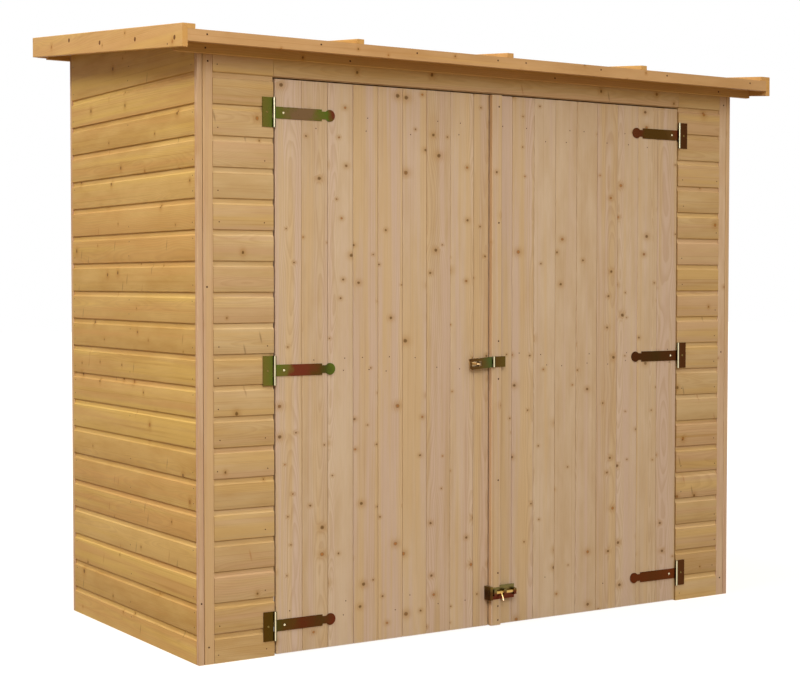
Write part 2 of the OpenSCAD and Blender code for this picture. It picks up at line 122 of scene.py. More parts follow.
class Nodes:
    """Short way to add and link the shader nodes of a material or a world."""

    def __init__(self, owner):
        owner.use_nodes = True
        self.owner, self.tree = owner, owner.node_tree
        self.tree.nodes.clear()

    def feed(self, socket, value):
        """Links another socket to this one, or sets a plain value on it."""
        if isinstance(value, bpy.types.NodeSocket):
            self.tree.links.new(value, socket)
        else:
            socket.default_value = value

    def add(self, kind, inputs=None, **props):
        """Adds a node with its properties, and feeds the inputs, by name or number."""
        node = self.tree.nodes.new(kind)
        for key, value in props.items():
            setattr(node, key, value)
        for key, value in (inputs or {}).items():
            self.feed(node.inputs[key], value)
        return node

    def math(self, op, a, b=0.0, c=0.0, clamp=False):
        return self.add("ShaderNodeMath", {0: a, 1: b, 2: c}, operation=op, use_clamp=clamp).outputs[0]

    def around(self, value, share, base=0.0, clamp=False):
        """The base, plus a share of what the value has over one half."""
        return self.math("MULTIPLY_ADD", self.math("SUBTRACT", value, 0.5), share, base, clamp)

    def hypotenuse(self, a, b):
        return self.math("SQRT", self.math("ADD", self.math("MULTIPLY", a, a), self.math("MULTIPLY", b, b)))

    def ramp(self, value, lo, hi, to_lo=0.0, to_hi=1.0):
        """Smooth step between two results, while the value goes from lo to hi."""
        inputs = {"Value": value, "From Min": lo, "From Max": hi, "To Min": to_lo, "To Max": to_hi}
        return self.add("ShaderNodeMapRange", inputs, interpolation_type="SMOOTHSTEP").outputs[0]

    def mix(self, factor, a, b, blend="MIX"):
        a, b = (c if isinstance(c, bpy.types.NodeSocket) else (*c, 1.0) for c in (a, b))
        node = self.add("ShaderNodeMix", {0: factor, 6: a, 7: b}, data_type="RGBA", blend_type=blend)
        return node.outputs[2]

    def layers(self, colour, *coats):
        """Lays coats over a colour; each is a factor and a colour."""
        for factor, coat in coats:
            colour = self.mix(factor, colour, coat)
        return colour

    def xyz(self, x, y, z=0.0):
        return self.add("ShaderNodeCombineXYZ", {0: x, 1: y, 2: z}).outputs[0]

    def split(self, vector):
        return self.add("ShaderNodeSeparateXYZ", {0: vector}).outputs

    def attribute(self, name, output):
        return self.add("ShaderNodeAttribute", attribute_name=name).outputs[output]

    def coordinates(self, output):
        return self.add("ShaderNodeTexCoord").outputs[output]

    def cells(self, vector):
        """Distance to the nearest of many scattered points, and three random numbers for that point."""
        inputs = {"Vector": vector, "Scale": 1.0, "Randomness": 1.0}
        node = self.add("ShaderNodeTexVoronoi", inputs, voronoi_dimensions="2D", feature="F1")
        return node.outputs["Distance"], self.split(node.outputs["Color"])

    def colours(self, value, stops):
        """Colour ramp through (place, colour) stops."""
        node = self.add("ShaderNodeValToRGB", {0: value})
        while len(node.color_ramp.elements) < len(stops):
            node.color_ramp.elements.new(0.5)
        for element, (place, colour) in zip(node.color_ramp.elements, stops):
            element.position = place
            element.color = (*colour, 1.0)
        return node.outputs[0]

    def noise(self, vector, scale=1.0, detail=2.0, rough=0.5):
        inputs = {"Vector": vector, "Scale": scale, "Detail": detail, "Roughness": rough}
        return self.add("ShaderNodeTexNoise", inputs, noise_dimensions="3D").outputs["Fac"]

    def bump(self, height, strength, distance):
        inputs = {"Height": height, "Strength": strength, "Distance": distance}
        return self.add("ShaderNodeBump", inputs).outputs[0]

    def finish(self, shader, output="ShaderNodeOutputMaterial"):
        """Links the shader to the output and returns the material or world."""
        self.add(output, {"Surface": shader.outputs[0]})
        return self.owner

    def surface(self, colour, rough, metal, specular, normal=None):
        """Finishes a material with one shader."""
        inputs = {"Base Color": colour, "Roughness": rough, "Metallic": metal, "Specular IOR Level": specular}
        if normal is not None:
            inputs["Normal"] = normal
        return self.finish(self.add("ShaderNodeBsdfPrincipled", inputs))


# Spruce

KNOT_DARK, KNOT_RED = seen(84, 52, 12), seen(164, 98, 34)
KNOT_CELL = (85 * MM, 100 * MM)            # along the grain and across it, for one knot at most
KNOT_R, KNOT_R_MORE = 2.1 * MM, 4.5 * MM   # smallest radius, and what the largest has over it
KNOT_WOBBLE = 3.4 * MM                     # unevenness of a knot's outline
SPIKE_CELL = (30 * MM, 160 * MM)
RING, RING_MORE = 2.6 * MM, 1.8 * MM       # narrowest growth ring, and what the widest has over it
PITH_DEPTH, PITH_MORE = 12 * MM, 50 * MM   # least depth of the pith, and what the greatest has over it
PITH_SIDE = 160 * MM                       # width within which the pith lies, around the board's middle
PITH_SWAY = (50 * MM, 60 * MM)             # ranges in which it wanders, sideways and in depth
RIPPLE, KNOT_BEND = 2.2 * MM, 5 * MM       # small waves of the rings, and their bend around a knot


class Grain(Nodes):
    """Nodes of planed spruce. The grain runs along x of 'grain'; 'board' holds three numbers per board."""

    def __init__(self, owner):
        super().__init__(owner)
        self.place = self.attribute("grain", "Vector")
        self.x, self.y, self.z = self.split(self.place)
        self.r1, self.r2, self.r3 = self.split(self.attribute("board", "Vector"))

    def fibres(self, along, across, detail, rough=0.6):
        """Noise drawn out along the grain; along and across are its waves per metre."""
        waves = ((self.x, along), (self.y, across), (self.z, across))
        return self.noise(self.xyz(*(self.math("MULTIPLY", a, b) for a, b in waves)), 1.0, detail, rough)

    def knots(self, share):
        """Round knots: the body, the rim, the halo around them, and a random number for the colour."""
        along, across = (self.math("DIVIDE", a, b) for a, b in zip((self.x, self.y), KNOT_CELL))
        spot, (chance, size, kind) = self.cells(self.xyz(along, across))
        wobble = self.around(self.noise(self.place, 160.0, 2.0), KNOT_WOBBLE)
        here = self.ramp(chance, 1.0 - share, 1.0 - share + 0.01)
        radius = self.math("MULTIPLY_ADD", self.math("POWER", size, 2.0), KNOT_R_MORE, KNOT_R)
        ratio = self.math("DIVIDE", self.math("MULTIPLY_ADD", spot, KNOT_CELL[1], wobble), radius)
        body = self.math("MULTIPLY", self.ramp(ratio, 1.2, 0.5), here)
        off_rim = self.math("ABSOLUTE", self.math("SUBTRACT", ratio, 0.95))
        rim = self.math("MULTIPLY", self.ramp(off_rim, 0.3, 0.0), here)
        fall = self.math("MULTIPLY", self.math("POWER", self.math("DIVIDE", ratio, 3.0), 2.0), -1.0)
        return body, rim, self.math("MULTIPLY", self.math("EXPONENT", fall), here), kind

    def spikes(self, share):
        """Spike knots: short brown dashes that lean across the board."""
        along = self.math("DIVIDE", self.math("MULTIPLY_ADD", self.y, 0.22, self.x), SPIKE_CELL[0])
        dash, numbers = self.cells(self.xyz(along, self.math("DIVIDE", self.y, SPIKE_CELL[1])))
        here = self.ramp(numbers[0], 1.0 - share, 1.0 - share + 0.005)
        return self.math("MULTIPLY", self.ramp(dash, 0.15, 0.02), here)

    def late_wood(self, halo):
        """Growth rings around a pith that lies off the board. They bend around the knots."""
        slow, fine = self.fibres(1.7, 5.0, 2.0, 0.55), self.fibres(9.0, 40.0, 3.0)
        side = self.around(self.r2, -PITH_SIDE, self.attribute("across", "Fac"))
        depth = self.math("MULTIPLY_ADD", self.r3, PITH_MORE, PITH_DEPTH)
        side, depth = self.around(slow, PITH_SWAY[0], side), self.around(slow, PITH_SWAY[1], depth)
        far = self.around(fine, RIPPLE, self.hypotenuse(side, depth))
        far = self.math("MULTIPLY_ADD", halo, KNOT_BEND, far)
        width = self.math("MULTIPLY_ADD", self.r1, RING_MORE, RING)
        phase = self.math("FRACT", self.math("DIVIDE", far, width))
        return self.math("MULTIPLY", self.ramp(phase, 0.25, 0.86), self.ramp(phase, 1.0, 0.9))


def spruce(name, pale, deep, rosy, straw, knots=0.5, spikes=0.0, rings=0.3, streaky=0.6):
    """Planed spruce from four colours as the eye meets them and the strength of its marks."""
    n = Grain(bpy.data.materials.new(name))
    pale, deep, rosy, straw = (seen(*colour) for colour in (pale, deep, rosy, straw))
    body, rim, halo, kind = n.knots(knots)
    late = n.late_wood(halo)

    # broad stains, belts of pink and straw, rings, and two kinds of long streaks
    stain, belt = n.fibres(4.5, 20.0, 3.0), n.fibres(0.9, 30.0, 3.0, 0.55)
    streak, thin = n.fibres(1.2, 70.0, 3.0), n.fibres(0.6, 210.0, 1.0)
    shade = n.around(stain, 1.9, n.around(n.r1, 0.62, 0.5), clamp=True)
    pink = n.around(belt, 2.4, n.math("MULTIPLY_ADD", n.r3, 0.5, 0.25))
    gold = n.around(belt, -2.4, n.math("MULTIPLY_ADD", n.r2, 0.5, 0.25))
    brown = tinted(deep, (0.78, 0.62, 0.44))
    colour = n.layers(
        n.mix(shade, pale, deep),
        (n.math("MULTIPLY", n.ramp(pink, 0.40, 0.95), streaky), rosy),
        (n.math("MULTIPLY", n.ramp(gold, 0.45, 1.0), streaky), straw),
        (n.math("MULTIPLY", late, rings), tinted(deep, (0.74, 0.60, 0.46))),
        (n.math("MULTIPLY", n.ramp(streak, 0.54, 0.76), n.ramp(n.r2, 0.2, 0.95, 0.14, 0.42)), brown),
        (n.math("MULTIPLY", n.ramp(thin, 0.60, 0.74), 0.26), brown),
    )
    fibre = n.fibres(14.0, 900.0, 3.0, 0.65)
    lift = n.around(fibre, 0.16, 1.0)
    colour = n.mix(1.0, colour, n.xyz(lift, lift, lift), "MULTIPLY")

    # knots, and the darker, warmer tint of end grain and cut edges, also laid as painted shade on a side
    # marked for it
    heart = n.mix(n.ramp(kind, 0.55, 0.8), KNOT_DARK, KNOT_RED)
    colour = n.layers(
        colour,
        (n.math("MULTIPLY", halo, 0.6), tinted(deep, (0.80, 0.64, 0.36))),
        (n.math("MULTIPLY", n.spikes(spikes), 0.42), heart),
        (n.math("MULTIPLY", body, 0.75), heart),
        (n.math("MULTIPLY", rim, 0.5), KNOT_DARK),
        (n.math("MULTIPLY", n.attribute("sawn_and_shaded", "Fac"), 0.4), tinted(deep, (1.0, 0.80, 0.58))),
    )
    rough = n.math("ADD", n.math("MULTIPLY_ADD", fibre, 0.16, 0.50), n.math("MULTIPLY", late, -0.06))
    height = n.math("ADD", n.math("MULTIPLY", late, 0.5), n.math("MULTIPLY", fibre, 0.8))
    return n.surface(colour, rough, 0.0, 0.10, n.bump(height, 0.35, 0.4 * MM))


CLADDING = spruce("cladding_spruce", (207, 178, 131), (189, 154, 101), (203, 165, 126), (209, 172, 107),
                  knots=0.3, spikes=0.06, rings=0.18)
# a warmer, more saturated copy of the cladding spruce for the side walls, which paints in the warm light that
# falls on them
WARM_LIT_SIDE = spruce("side_spruce_painted_warm_light", (214, 180, 113), (191, 151, 82), (205, 159, 95), (218, 184, 99),
              knots=0.3, spikes=0.07, rings=0.18)
DOOR = spruce("door_spruce", (207, 184, 154), (190, 161, 123), (202, 176, 155), (204, 174, 130),
              knots=0.58, rings=0.26, streaky=0.75)
TRIM = spruce("trim_spruce", (210, 182, 148), (187, 150, 110), (200, 164, 136), (204, 170, 122),
              knots=0.12, rings=0.14, streaky=0.8)
ROOF = spruce("roof_spruce", (210, 171, 110), (193, 150, 87), (205, 158, 103), (214, 173, 97),
              knots=0.2, rings=0.2, streaky=0.4)
# a darker copy of the roof spruce for the fascias, whose extra darkness is painted shade on a board that faces
# front
SHADED_FASCIA = spruce("fascia_spruce_painted_shade", (201, 160, 110), (183, 140, 88), (195, 148, 103), (203, 160, 95),
                knots=0.3, rings=0.2)
FRAME = spruce("frame_spruce", (209, 177, 133), (191, 154, 105), (199, 160, 123), (209, 171, 118), knots=0.3)


# Metal

# painted highlight and painted shade of the rolled barrels
BARREL_HIGHLIGHT, BARREL_PAINTED_SHADE = seen(216, 206, 172), seen(74, 66, 30)
BARREL_FADE = 0.8 * MM          # depth over which a flat leaf turns into its barrel


def zinc(name, stops, start, end, barrel_y=None, axis=0, others=()):
    """Yellow-passivated zinc, whose thin film turns green, gold and red along the piece from start to end.

    What lies in front of barrel_y is a rolled barrel, with a painted highlight where it faces front-left and
    painted shade on its other sides. others holds heights and their stops.
    """
    n = Nodes(bpy.data.materials.new(name))
    where = n.coordinates("Object")
    place = n.split(where)
    small = n.noise(where, 110.0, 3.0, 0.6)
    along = n.math("DIVIDE", n.math("SUBTRACT", place[axis], start), end - start)
    along = n.around(n.noise(where, 26.0, 2.0, 0.5), 0.35, along)
    along = n.around(small, 0.10, along, clamp=True)
    colour = n.colours(along, stops)
    for height, other in others:
        near = n.ramp(n.math("ABSOLUTE", n.math("SUBTRACT", place[2], height)), 0.2, 0.1)
        colour = n.mix(near, colour, n.colours(along, other))
    if barrel_y is not None:
        # painted highlight on the barrel where its face turns front-left, painted shade where it turns away
        facing = n.split(n.coordinates("Normal"))
        toward_painted_light = n.math("MULTIPLY_ADD", facing[0], -0.45, n.math("MULTIPLY", facing[1], -0.89))
        barrel = n.mix(n.ramp(toward_painted_light, 0.86, 0.97), BARREL_PAINTED_SHADE, BARREL_HIGHLIGHT)
        colour = n.mix(n.ramp(place[1], barrel_y, barrel_y - BARREL_FADE), colour, barrel)
    rough = n.math("MULTIPLY_ADD", small, 0.2, 0.20)
    return n.surface(colour, rough, 1.0, 0.5, n.bump(small, 0.2, 0.3 * MM))


def head_skin(name, colour, rough, metal=1.0):
    """Skin of nail and screw heads. Those sunk in the timber are dark spots without a metal shine."""
    n = Nodes(bpy.data.materials.new(name))
    wear = n.noise(n.coordinates("Object"), 240.0, 2.0, 0.6)
    worn = n.mix(wear, seen(*colour), tinted(seen(*colour), (0.7, 0.7, 0.7)))
    return n.surface(worn, n.math("MULTIPLY_ADD", wear, 0.2, rough), metal, 0.15)


NAIL = head_skin("nail_head", (74, 44, 16), 0.45, metal=0.0)
WOOD_SCREW = head_skin("wood_screw_head", (112, 66, 12), 0.5, metal=0.0)
# near-white heads of the strap screws, a painted glint
GLINTING_SCREW = head_skin("screw_head", (236, 224, 190), 0.3)
DULL_SCREW = head_skin("dull_screw_head", (128, 108, 58), 0.3)


# Boards

class Boards:
    """Collects boards into one mesh and writes their grain attributes."""

    def __init__(self, name, body, material, slot, seed):
        self.name, self.body, self.material, self.slot = name, body, material, slot
        self.rng = random.Random(seed)
        self.verts, self.faces = [], []
        self.grain, self.board, self.across, self.sawn_and_shaded = [], [], [], []

    def add(self, bm, along, across, centre=None, edge=None):
        """Takes one board's bmesh; along and across are its directions, and the last argument points at a side
        that gets the darker, warmer end-grain tint as painted shade.
        """
        depth = along.cross(across)
        shift = Vector([self.rng.uniform(-40, 40) for _ in range(3)])
        numbers = tuple(self.rng.random() for _ in range(3))
        if centre is None:
            places = [v.co.dot(across) for v in bm.verts]
            centre = (min(places) + max(places)) / 2
        # each face gets its own vertices, so that the mark for cut ends and painted shade is sharp
        for face in bm.faces:
            base = len(self.verts)
            sawn_and_shaded = abs(face.normal.dot(along)) > 0.7 or (edge is not None and face.normal.dot(edge) > 0.7)
            for vert in face.verts:
                co = vert.co
                self.verts.append(co.copy())
                self.grain.append(Vector((co.dot(along), co.dot(across), co.dot(depth))) + shift)
                self.board.append(numbers)
                self.across.append(co.dot(across) - centre)
                self.sawn_and_shaded.append(1.0 if sawn_and_shaded else 0.0)
            self.faces.append(list(range(base, base + len(face.verts))))
        bm.free()

    def finish(self, *replaced):
        mesh = bpy.data.meshes.new(self.name)
        mesh.from_pydata([tuple(v) for v in self.verts], [], self.faces)
        for key, kind, data, field in (
            ("grain", "FLOAT_VECTOR", self.grain, "vector"),
            ("board", "FLOAT_VECTOR", self.board, "vector"),
            ("across", "FLOAT", self.across, "value"),
            ("sawn_and_shaded", "FLOAT", self.sawn_and_shaded, "value"),
        ):
            layer = mesh.attributes.new(key, kind, "POINT")
            flat = [c for v in data for c in v] if field == "vector" else data
            layer.data.foreach_set(field, flat)
        bm = bmesh.new()
        bm.from_mesh(mesh)
        weld_inside(bm)
        bm.to_mesh(mesh)
        bm.free()
        obj = placed(self.name, mesh, self.material, 28)
        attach(obj, self.body)
        if replaced:
            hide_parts(*replaced)


def weld_inside(bm):
    """Joins the vertices that lie on each other and carry the same mark for cut ends and painted shade."""
    layer = bm.verts.layers.float.get("sawn_and_shaded")
    groups = {0.0: [], 1.0: []}
    for v in bm.verts:
        groups[round(v[layer])].append(v)
    for verts in groups.values():
        bmesh.ops.remove_doubles(bm, verts=verts, dist=TINY)
    bmesh.ops.recalc_face_normals(bm, faces=bm.faces)


def placed(name, mesh, material, sharp):
    """Object in the scene from a mesh, smooth up to an angle of sharp degrees."""
    mesh.shade_smooth()
    mesh.set_sharp_from_angle(angle=math.radians(sharp))
    mesh.materials.append(material)
    obj = bpy.data.objects.new(name, mesh)
    bpy.context.scene.collection.objects.link(obj)
    return obj


def closed(bm, first, last):
    """Joins two rings of vertices with faces and closes both ends."""
    for i in range(len(first)):
        j = (i + 1) % len(first)
        bm.faces.new((first[i], first[j], last[j], last[i]))
    bm.faces.new(first)
    bm.faces.new(list(reversed(last)))
    bmesh.ops.recalc_face_normals(bm, faces=bm.faces)
    return bm


def prism(profile, start, end, along, u, v, origin=Vector((0, 0, 0))):
    """Board with a cross-section of (u, v) points, from start to end along its length."""
    bm = bmesh.new()
    rings = [[bm.verts.new(origin + along * a + u * p[0] + v * p[1]) for p in profile] for a in (start, end)]
    return closed(bm, *rings)


def cut(bm, point, normal):
    """Removes what lies on the normal's side of a plane and closes the cut."""
    geom = bm.verts[:] + bm.edges[:] + bm.faces[:]
    done = bmesh.ops.bisect_plane(bm, geom=geom, plane_co=point, plane_no=normal, clear_outer=True)
    edges = [e for e in done["geom_cut"] if isinstance(e, bmesh.types.BMEdge)]
    if edges:
        bmesh.ops.contextual_create(bm, geom=edges)
    bmesh.ops.recalc_face_normals(bm, faces=bm.faces)


def eased(width, height, ease, corner):
    """Rectangle with eased corners, as (u, v) points from a corner."""
    u0, v0 = corner
    u1, v1 = u0 + width, v0 + height
    waist = ease * 0.35
    pts = []
    for cu, cv, du, dv in ((u0, v0, 1, 1), (u1, v0, -1, 1), (u1, v1, -1, -1), (u0, v1, 1, -1)):
        a, m, b = (cu, cv + dv * ease), (cu + du * waist, cv + dv * waist), (cu + du * ease, cv)
        pts += [a, m, b] if (cu == u0) == (cv == v0) else [b, m, a]
    return pts


def bar(group, lo, hi, along, ease=EASE, cuts=(), edge=None):
    """Squared timber between two corners, with eased long edges."""
    lo, hi = Vector(lo), Vector(hi)
    size = [b - a for a, b in zip(lo, hi)]
    length = AXES.index(along)
    wide, thin = sorted((i for i in range(3) if i != length), key=lambda i: -size[i])
    pts = eased(size[wide], size[thin], min(ease, size[thin] * 0.2), (lo[wide], lo[thin]))
    bm = prism(pts, lo[length], hi[length], along, AXES[wide], AXES[thin])
    for point, normal in cuts:
        cut(bm, point, normal)
    group.add(bm, along, AXES[wide], edge=edge)


# Cladding

def clad_profile(low_u, high_u, t=CLAD_T):
    """Shiplap board: v runs from the inner face outward. Below its top the face is scooped out in a curve."""
    lip, straight, curve, depth, sweep = 2.3 * MM, 9.5 * MM, 6.0 * MM, 5.0 * MM, math.radians(78)
    slit, ease, bead, steps = 0.1 * MM, 0.5 * MM, 1.6 * MM, 7
    foot, top, nose = low_u + slit, high_u - slit, low_u + lip
    pts = [(foot, ease), (foot + ease, 0), (top - ease, 0), (top, ease), (top, t - depth)]
    for i in range(steps + 1):
        turn = sweep * i / steps
        fall = straight + curve * math.sin(turn) / math.sin(sweep)
        pts.append((top - fall, t - depth + depth * (1 - math.cos(turn)) / (1 - math.cos(sweep))))
    pts += [(nose + bead, t), (nose + ease, t - ease), (nose, t - bead)]
    pts += [(nose, t - depth + 0.2 * MM), (foot, t - depth)]
    return pts


def clad(node, material, seed, start, end, along, outward, face, rows):
    """Wall of boards one over the other, cut at the roof. face is the outer plane, and outward its way."""
    wall = Boards(node + "_boards", "shed", material, "cladding_timber", seed)
    for z0, z1 in rows:
        foot = min(z0, z1 - BOARD)
        origin = outward * (face.dot(outward) - CLAD_T)
        bm = prism(clad_profile(foot, z1), start, end, along, Z, outward, origin)
        if z0 > foot + TINY:
            cut(bm, Vector((0, 0, z0)), -Z)
        cut(bm, *ROOF_CUT)
        # nothing is left of a board that lies above the cut
        if len(bm.faces) > 3:
            wall.add(bm, along, Z, centre=(z0 + z1) / 2)
        else:
            bm.free()
    wall.finish(node)


def levels(top):
    """Foot and head of each row of boards, up to a height."""
    rows = [(0.0, FIRST_GROOVE)]
    while rows[-1][1] < top - TINY:
        rows.append((rows[-1][1], rows[-1][1] + BOARD))
    return rows


SIDE_SLIT, END_SLIT = 0.3 * MM, 0.4 * MM      # gaps at the ends of the boards
side_rows = levels(under_roof(BACK))
gable_rows = side_rows[:-2] + [(side_rows[-2][0], side_rows[-1][1])]      # one wide board under the roof
front_rows = levels(under_roof(FRONT + CLAD_T))
header_rows = [row for row in front_rows if row[0] > DOOR_TOP - 0.1 * MM]

for node, face, out, seed in (
    ("left_wall_cladding", Vector((LEFT, 0, 0)), -X, 11),
    ("right_wall_cladding", Vector((RIGHT, 0, 0)), X, 12),
):
    ends = (FRONT + CLAD_T + SIDE_SLIT, BACK - CLAD_T - SIDE_SLIT)
    clad(node, WARM_LIT_SIDE, seed, *ends, Y, out, face, gable_rows)

for node, x0, x1, out, face, rows, seed in (
    ("back_wall_cladding", TRIM_L, TRIM_R, Y, BACK, side_rows, 13),
    ("front_wall_left", TRIM_L, DOOR_L, -Y, FRONT, front_rows, 14),
    ("front_wall_right", DOOR_R, TRIM_R, -Y, FRONT, front_rows, 15),
    ("front_wall_header", DOOR_L, DOOR_R, -Y, FRONT, header_rows, 16),
):
    clad(node, CLADDING, seed, x0 + END_SLIT, x1 - END_SLIT, X, out, Vector((0, face, 0)), rows)


# Frame and trims

def merged(node):
    """Bmesh of one CAD node, with its vertices merged."""
    bm = bmesh.new()
    bm.from_mesh(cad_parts[node].data)
    bmesh.ops.remove_doubles(bm, verts=bm.verts, dist=TINY)
    return bm


def solids(bm):
    """Vertices of each separate solid, in the order that the mesh has them."""
    left = list(bm.verts)
    while left:
        stack, found = [left[0]], set()
        while stack:
            v = stack.pop()
            if v not in found:
                found.add(v)
                stack += [e.other_vert(v) for e in v.link_edges]
        yield [v for v in left if v in found]
        left = [v for v in left if v not in found]


def boxes(node):
    """Boxes of the separate solids of one CAD node."""
    bm = merged(node)
    found = []
    for verts in solids(bm):
        found.append([Vector([end(v.co[i] for v in verts) for i in range(3)]) for end in (min, max)])
    bm.free()
    return sorted(found, key=lambda b: tuple(round(c, 4) for c in b[0]))


def timbers(node, body, material, slot, along, seed, ease=EASE, cuts=(), edge=None):
    group = Boards(node + "_timber", body, material, slot, seed)
    for lo, hi in boxes(node):
        bar(group, lo, hi, along, ease, cuts, edge)
    group.finish(node)


def corner_trims(node, seed):
    """Each corner is a narrow board on the outside and a wider one beside it, with a thin joint."""
    group = Boards(node + "_timber", "shed", TRIM, "trim_timber", seed)
    narrow, joint = 18 * MM, 1.6 * MM
    for lo, hi in boxes(node):
        seam = lo.x + narrow if lo.x < 0 else hi.x - narrow
        bar(group, lo, (seam - joint / 2, hi.y, hi.z), Z, TRIM_EASE, [ROOF_CUT])
        bar(group, (seam + joint / 2, lo.y, lo.z), hi, Z, TRIM_EASE, [ROOF_CUT])
    group.finish(node)


for node, along, seed, cuts in (
    ("left_wall_studs", Z, 21, [ROOF_CUT]),
    ("right_wall_studs", Z, 22, [ROOF_CUT]),
    ("back_wall_studs", Z, 23, []),
    ("left_wall_rails", Y, 24, []),
    ("right_wall_rails", Y, 25, []),
    ("back_wall_rails", X, 26, [ROOF_CUT]),
    ("door_posts", Z, 27, []),
    ("header_rail", X, 28, []),
    ("threshold_rail", X, 29, []),
):
    timbers(node, "shed", FRAME, "frame_timber", along, seed, cuts=cuts)
corner_trims("front_corner_trims", 1552)
corner_trims("back_corner_trims", 32)


# Roof

for node, material, seed in (
    ("front_eaves_rail", ROOF, 33),
    ("back_eaves_rail", ROOF, 34),
    ("roof_purlin", FRAME, 35),
):
    timbers(node, "shed", material, "frame_timber", X, seed, cuts=[ROOF_CUT])

UP_SLOPE = Vector((0, math.cos(SLOPE), math.sin(SLOPE)))
ROOF_LO, ROOF_HI = low("roof_boards"), high("roof_boards")
BARGE_LOW = low("left_bargeboard").z - roof_top(EAVES_Y0)
DECK_SLIT = 0.3 * MM


def sloped(group, x0, x1, y0, y1, low_z, high_z, ease, wide=X):
    """Piece that lies on the slope between two depths, with plumb-cut ends."""
    bm = bmesh.new()
    pts = eased(x1 - x0, high_z - low_z, ease, (x0, low_z))
    rings = [[bm.verts.new(Vector((p[0], y, roof_top(y) + p[1]))) for p in pts] for y in (y0, y1)]
    group.add(closed(bm, *rings), UP_SLOPE, wide)


deck = Boards("roof_boards_timber", "shed", ROOF, "cladding_timber", 41)
count = round((ROOF_HI.x - ROOF_LO.x) / BOARD)
step = (ROOF_HI.x - ROOF_LO.x) / count
for i in range(count):
    x0 = ROOF_LO.x + i * step
    sloped(deck, x0, x0 + step - DECK_SLIT, ROOF_LO.y, ROOF_HI.y, -DECK, 0.0, WIDE_EASE)
deck.finish("roof_boards")

for node, x0, x1, seed in (
    ("left_bargeboard", low("left_bargeboard").x + PROUD, high("left_bargeboard").x, 42),
    ("right_bargeboard", low("right_bargeboard").x, high("right_bargeboard").x - PROUD, 43),
):
    barge = Boards(node + "_timber", "shed", ROOF, "cladding_timber", seed)
    sloped(barge, x0, x1, EAVES_Y0, EAVES_Y1, BARGE_LOW, BATTEN, TRIM_EASE, Z)
    barge.finish(node)

battens = Boards("roof_battens_timber", "shed", ROOF, "frame_timber", 44)
for lo, hi in boxes("roof_battens"):
    sloped(battens, lo.x, hi.x, EAVES_Y0, EAVES_Y1, 0.0, BATTEN, EASE)
battens.finish("roof_battens")

for node, seed in (("front_fascia", 45), ("back_fascia", 46)):
    fascia = Boards(node + "_timber", "shed", SHADED_FASCIA, "cladding_timber", seed)
    lo, hi = low(node), high(node)
    if node == "front_fascia":
        lo.y += PROUD
    else:
        hi.y -= PROUD
    bar(fascia, lo, hi, X, EASE, [TOP_CUT])
    fascia.finish(node)


# Doors

def door_boards(node, body, hinge_side, cover, seed, lap=0.0):
    """Boards of one leaf, laid from its hinge edge, the last one ripped to fit. lap widens it at the right."""
    group = Boards(node + "_timber", body, DOOR, "door_timber", seed)
    lo, hi = low(node), high(node)
    hi.x += lap
    width, vee = hi.x - lo.x, 1.6 * MM
    y0, y1 = lo.y, hi.y
    for i in range(math.ceil((width - TINY) / cover)):
        near, far = i * cover, min((i + 1) * cover, width)
        x0, x1 = (lo.x + near, lo.x + far) if hinge_side < 0 else (hi.x - far, hi.x - near)
        gap = group.rng.uniform(0.15, 0.7) * MM
        x0, x1 = x0 + gap, x1 - gap
        pts = [(x0, y0 + vee), (x0 + vee, y0), (x1 - vee, y0), (x1, y0 + vee)]
        pts += [(x1, y1 - vee), (x1 - vee, y1), (x0 + vee, y1), (x0, y1 - vee)]
        group.add(prism(pts, lo.z, hi.z, Z, X, Y), Z, X)
    group.finish(node)


def braces(node, body, seed):
    """Sloping braces, taken from the solids of the CAD node."""
    source = merged(node)
    bmesh.ops.dissolve_limit(source, angle_limit=0.01, verts=source.verts, edges=source.edges)
    group = Boards(node + "_timber", body, FRAME, "frame_timber", seed)
    for verts in solids(source):
        bm = bmesh.new()
        copy = {v: bm.verts.new(v.co) for v in verts}
        for face in source.faces:
            if face.verts[0] in copy:
                bm.faces.new([copy[v] for v in face.verts])
        bmesh.ops.recalc_face_normals(bm, faces=bm.faces)
        longest = max(bm.edges, key=lambda e: e.calc_length())
        along = (longest.verts[1].co - longest.verts[0].co).normalized()
        bmesh.ops.bevel(bm, geom=bm.edges[:], offset=EASE, segments=2, affect="EDGES")
        group.add(bm, along, along.cross(Y))
    source.free()
    group.finish(node)


door_boards("left_door_boards", "left_door", -1, LEFT_COVER, 51, DOOR_LAP)
door_boards("right_door_boards", "right_door", 1, RIGHT_COVER, 52)
timbers("left_door_ledges", "left_door", FRAME, "frame_timber", X, 53)
timbers("right_door_ledges", "right_door", FRAME, "frame_timber", X, 54)
# the strip's left side gets the darker, warmer end-grain tint as painted shade
timbers("door_cover_strip", "right_door", DOOR, "trim_timber", Z, 55, WIDE_EASE, edge=-X)
braces("left_door_braces", "left_door", 56)
braces("right_door_braces", "right_door", 57)


# Hinges, hasp and bolt, which keep their CAD meshes and get a skin

def heights(node):
    """Middle heights of the solids of a node, from the lowest up."""
    return [(lo.z + hi.z) / 2 for lo, hi in sorted(boxes(node), key=lambda b: b[0].z)]


LEFT_PIN = (low("left_hinge_straps").x + high("left_hinge_plates").x) / 2
RIGHT_PIN = (high("right_hinge_straps").x + low("right_hinge_plates").x) / 2
STRAP = high("left_hinge_straps").x - LEFT_PIN
PLATE = LEFT_PIN - low("left_hinge_plates").x
METAL_T = 2.4 * MM
LEAF_Y = low("left_door_boards").y - METAL_T          # outer faces of the hinge leaves
STRIP_Y = low("door_cover_strip").y
LEFT_Z, RIGHT_Z = heights("left_hinge_straps"), heights("right_hinge_straps")
HINGE_EDGE = LEAF_Y - 0.8 * MM                        # in front of these the metal belongs to a barrel
HASP_EDGE = STRIP_Y - METAL_T - 1.2 * MM

GREEN, OLIVE, PURPLE = (84, 98, 32), (100, 92, 38), (116, 88, 58)
RUST, BROWN, BLACKISH = (104, 48, 30), (84, 56, 22), (76, 50, 14)

